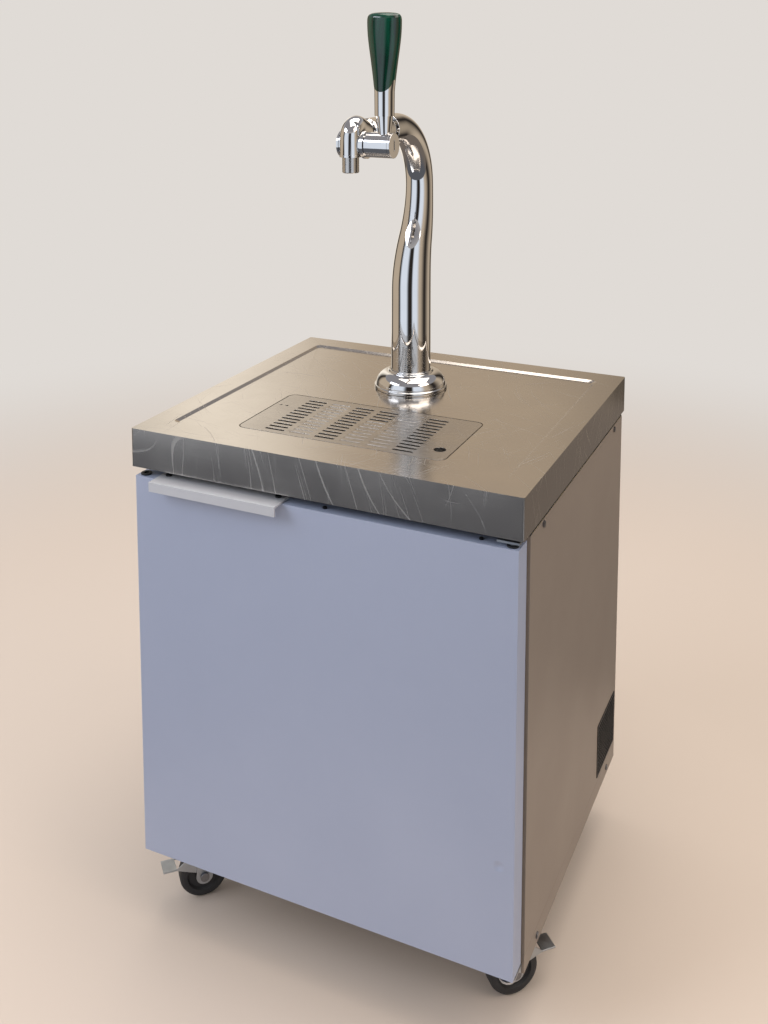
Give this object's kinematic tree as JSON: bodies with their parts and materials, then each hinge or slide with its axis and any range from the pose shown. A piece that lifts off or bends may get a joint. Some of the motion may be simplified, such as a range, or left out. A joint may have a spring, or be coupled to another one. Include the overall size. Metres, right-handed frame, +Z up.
{
  "type": "mobile draught beer cabinet with swan-neck tap tower",
  "caption": "Refrigerated keg cabinet on castors with a pressed stainless worktop, lift-out drip tray, hinged door and a chrome swan-neck tower with a lever tap.",
  "frame": {"origin": "on the floor, under the centre of the whole footprint (worktop, door handle and brake pedals together)", "axes": "+Z up, +X to the right seen from the front, +Y from the door to the back panel"},
  "size_m": [0.6142, 0.57, 1.3886],
  "materials": {
    "aluminium": "satin anodised",
    "black_enamel": "gloss black enamel",
    "black_painted_steel": "black powder coat",
    "black_plastic": "moulded",
    "black_rubber": "matte",
    "brass": "turned",
    "castor_wheel": "black moulded wheel",
    "chrome": "polished chrome plate",
    "copper_fins": "fins",
    "door_steel": "satin stainless sheet, straight grain",
    "foam": "rigid polyurethane foam",
    "frame_plastic": "dark grey trim",
    "galvanised_steel": "galvanised, dull",
    "green_grip": "glossy green lens",
    "grille_plastic": "black moulded",
    "hose": "translucent hose",
    "liner_plastic": "white moulded liner",
    "plywood": "unfinished board",
    "satin_metal": "satin nickel",
    "screw_steel": "screws",
    "side_steel": "satin grey coated sheet",
    "white_plastic": "moulded",
    "worktop_steel": "brushed stainless sheet",
    "zinc_plate": "bright zinc plated pressing"
  },
  "bodies": {
    "cabinet": {"base_frame": "side_steel", "floor_panel": "galvanised_steel", "left_side_panel": "side_steel", "right_side_panel": "side_steel", "side_grille": "grille_plastic", "back_panel": "galvanised_steel", "inner_liner": "liner_plastic", "foam_insulation": "foam", "front_frame": "frame_plastic", "worktop_subframe": "black_painted_steel", "worktop_board": "plywood", "worktop": "worktop_steel", "tower_flange": "chrome", "tower_column": "chrome", "neck_ring": "chrome", "tap_body": "chrome", "tap_spout": "satin_metal", "compressor": "black_enamel", "condenser": "copper_fins", "fan_frame": "black_plastic", "evaporator_plate": "aluminium", "thermostat_housing": "white_plastic", "power_inlet": "black_plastic", "beer_line": "hose", "line_end_nut": "brass", "line_clips": "white_plastic", "castor_plates": "zinc_plate", "hinge_brackets": "zinc_plate", "hinge_pins": "screw_steel", "side_screws": "screw_steel"},
    "door": {"door_skin": "door_steel", "door_foam": "foam", "door_inner_panel": "liner_plastic", "door_gasket": "black_rubber", "door_handle": "aluminium", "door_screws": "black_painted_steel", "hinge_bushes": "black_plastic"},
    "tap_lever": {"lever_hub": "chrome", "valve_plug": "chrome", "hub_end_cap": "chrome", "lever_stem": "chrome", "grip_lens": "green_grip"},
    "fan": {"fan_blades": "black_plastic"},
    "thermostat_dial": {"thermostat_knob": "black_plastic"},
    "drip_pan": {"tray_pan": "worktop_steel"},
    "drip_lid": {"tray_lid": "worktop_steel"},
    "front_left_castor": {"front_left_castor_fork": "zinc_plate", "front_left_castor_axle": "screw_steel"},
    "front_left_castor_roller": {"front_left_castor_wheel": "castor_wheel"},
    "front_left_castor_brake": {"front_left_castor_pedal": "zinc_plate"},
    "front_right_castor": {"front_right_castor_fork": "zinc_plate", "front_right_castor_axle": "screw_steel"},
    "front_right_castor_roller": {"front_right_castor_wheel": "castor_wheel"},
    "front_right_castor_brake": {"front_right_castor_pedal": "zinc_plate"},
    "rear_left_castor": {"rear_left_castor_fork": "zinc_plate", "rear_left_castor_axle": "screw_steel"},
    "rear_left_castor_roller": {"rear_left_castor_wheel": "castor_wheel"},
    "rear_right_castor": {"rear_right_castor_fork": "zinc_plate", "rear_right_castor_axle": "screw_steel"},
    "rear_right_castor_roller": {"rear_right_castor_wheel": "castor_wheel"}
  },
  "joints": [
    {"name": "door_hinge", "type": "hinge", "parent": "cabinet", "child": "door", "pos_m": [0.2821, -0.254, 0.1235], "axis": [0, 0, 1], "range_deg": [0, 110]},
    {"name": "lever_turn", "type": "hinge", "parent": "cabinet", "child": "tap_lever", "pos_m": [-0.0122, -0.1075, 1.2008], "axis": [1, 0, 0], "range_deg": [0, 45]},
    {"name": "fan_spin", "type": "hinge", "parent": "cabinet", "child": "fan", "pos_m": [0.245, 0.2162, 0.197], "axis": [1, 0, 0], "continuous": true},
    {"name": "thermostat_turn", "type": "hinge", "parent": "cabinet", "child": "thermostat_dial", "pos_m": [0.2347, -0.1126, 0.5698], "axis": [-1, 0, 0], "range_deg": [0, 270]},
    {"name": "pan_lift", "type": "slide", "parent": "cabinet", "child": "drip_pan", "axis": [0, 0, 1], "range_m": [0, 0.15]},
    {"name": "lid_lift", "type": "slide", "parent": "drip_pan", "child": "drip_lid", "axis": [0, 0, 1], "range_m": [0, 0.1]},
    {"name": "front_left_castor_swivel", "type": "hinge", "parent": "cabinet", "child": "front_left_castor", "pos_m": [-0.238, -0.16, 0.0902], "axis": [0, 0, 1], "continuous": true},
    {"name": "front_left_castor_roll", "type": "hinge", "parent": "front_left_castor", "child": "front_left_castor_roller", "pos_m": [-0.25214, -0.17414, 0.0375], "axis": [-0.7071, 0.7071, 0], "continuous": true},
    {"name": "front_left_castor_brake_press", "type": "hinge", "parent": "front_left_castor", "child": "front_left_castor_brake", "pos_m": [-0.25214, -0.17414, 0.0847], "axis": [0.7071, -0.7071, 0], "range_deg": [0, 9]},
    {"name": "front_right_castor_swivel", "type": "hinge", "parent": "cabinet", "child": "front_right_castor", "pos_m": [0.238, -0.16, 0.0902], "axis": [0, 0, 1], "continuous": true},
    {"name": "front_right_castor_roll", "type": "hinge", "parent": "front_right_castor", "child": "front_right_castor_roller", "pos_m": [0.25214, -0.14586, 0.0375], "axis": [0.7071, -0.7071, 0], "continuous": true},
    {"name": "front_right_castor_brake_press", "type": "hinge", "parent": "front_right_castor", "child": "front_right_castor_brake", "pos_m": [0.25214, -0.14586, 0.0847], "axis": [-0.7071, 0.7071, 0], "range_deg": [0, 9]},
    {"name": "rear_left_castor_swivel", "type": "hinge", "parent": "cabinet", "child": "rear_left_castor", "pos_m": [-0.238, 0.225, 0.0902], "axis": [0, 0, 1], "continuous": true},
    {"name": "rear_left_castor_roll", "type": "hinge", "parent": "rear_left_castor", "child": "rear_left_castor_roller", "pos_m": [-0.248, 0.20768, 0.0375], "axis": [-0.866, 0.5, 0], "continuous": true},
    {"name": "rear_right_castor_swivel", "type": "hinge", "parent": "cabinet", "child": "rear_right_castor", "pos_m": [0.238, 0.225, 0.0902], "axis": [0, 0, 1], "continuous": true},
    {"name": "rear_right_castor_roll", "type": "hinge", "parent": "rear_right_castor", "child": "rear_right_castor_roller", "pos_m": [0.21987, 0.21655, 0.0375], "axis": [-0.4226, 0.9063, 0], "continuous": true}
  ]
}
